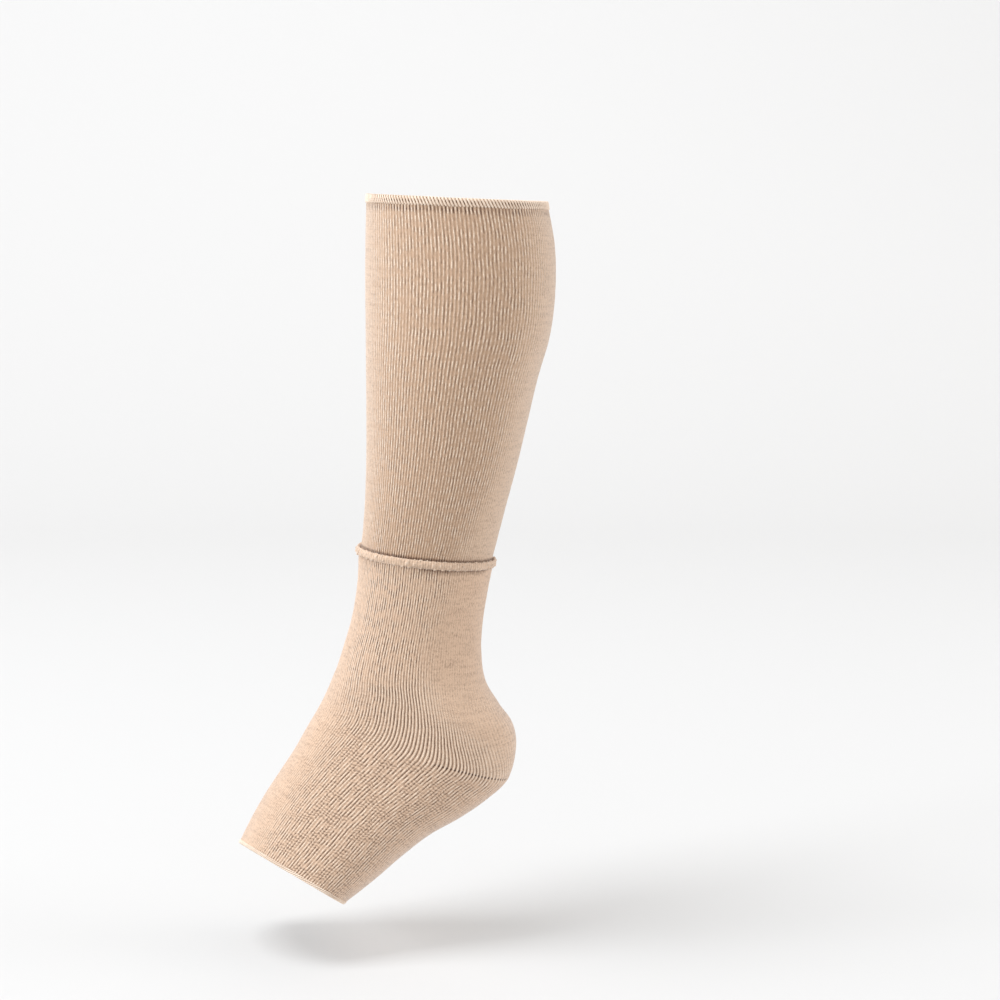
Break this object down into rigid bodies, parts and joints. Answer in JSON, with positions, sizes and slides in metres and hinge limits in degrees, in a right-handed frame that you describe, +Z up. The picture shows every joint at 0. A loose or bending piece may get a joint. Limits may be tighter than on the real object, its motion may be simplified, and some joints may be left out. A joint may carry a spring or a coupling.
{
  "type": "tubular support bandage",
  "caption": "Worn knitted support for a lower leg: a leg tube with an overlocked top hem, and over its lower end a foot sleeve with a rolled edge, a heel pocket and an open toe.",
  "frame": {"origin": "centre of the leg tube's top opening, where the lower leg enters", "axes": "+Z up the leg and out of the top opening, -X to the shin and toe side, +X to the calf and heel side, -Y to the outer side of a left leg"},
  "size_m": [0.1904, 0.1076, 0.4252],
  "materials": {
    "leg_knit": "beige rib knit, matt",
    "foot_knit": "beige rib knit, matt",
    "hem_thread": "overlock thread, matt",
    "edging_thread": "overlock thread, matt"
  },
  "bodies": {
    "root": {"leg_tube": "leg_knit", "foot_sleeve": "foot_knit", "leg_hem": "hem_thread", "toe_edging": "edging_thread"}
  },
  "joints": []
}
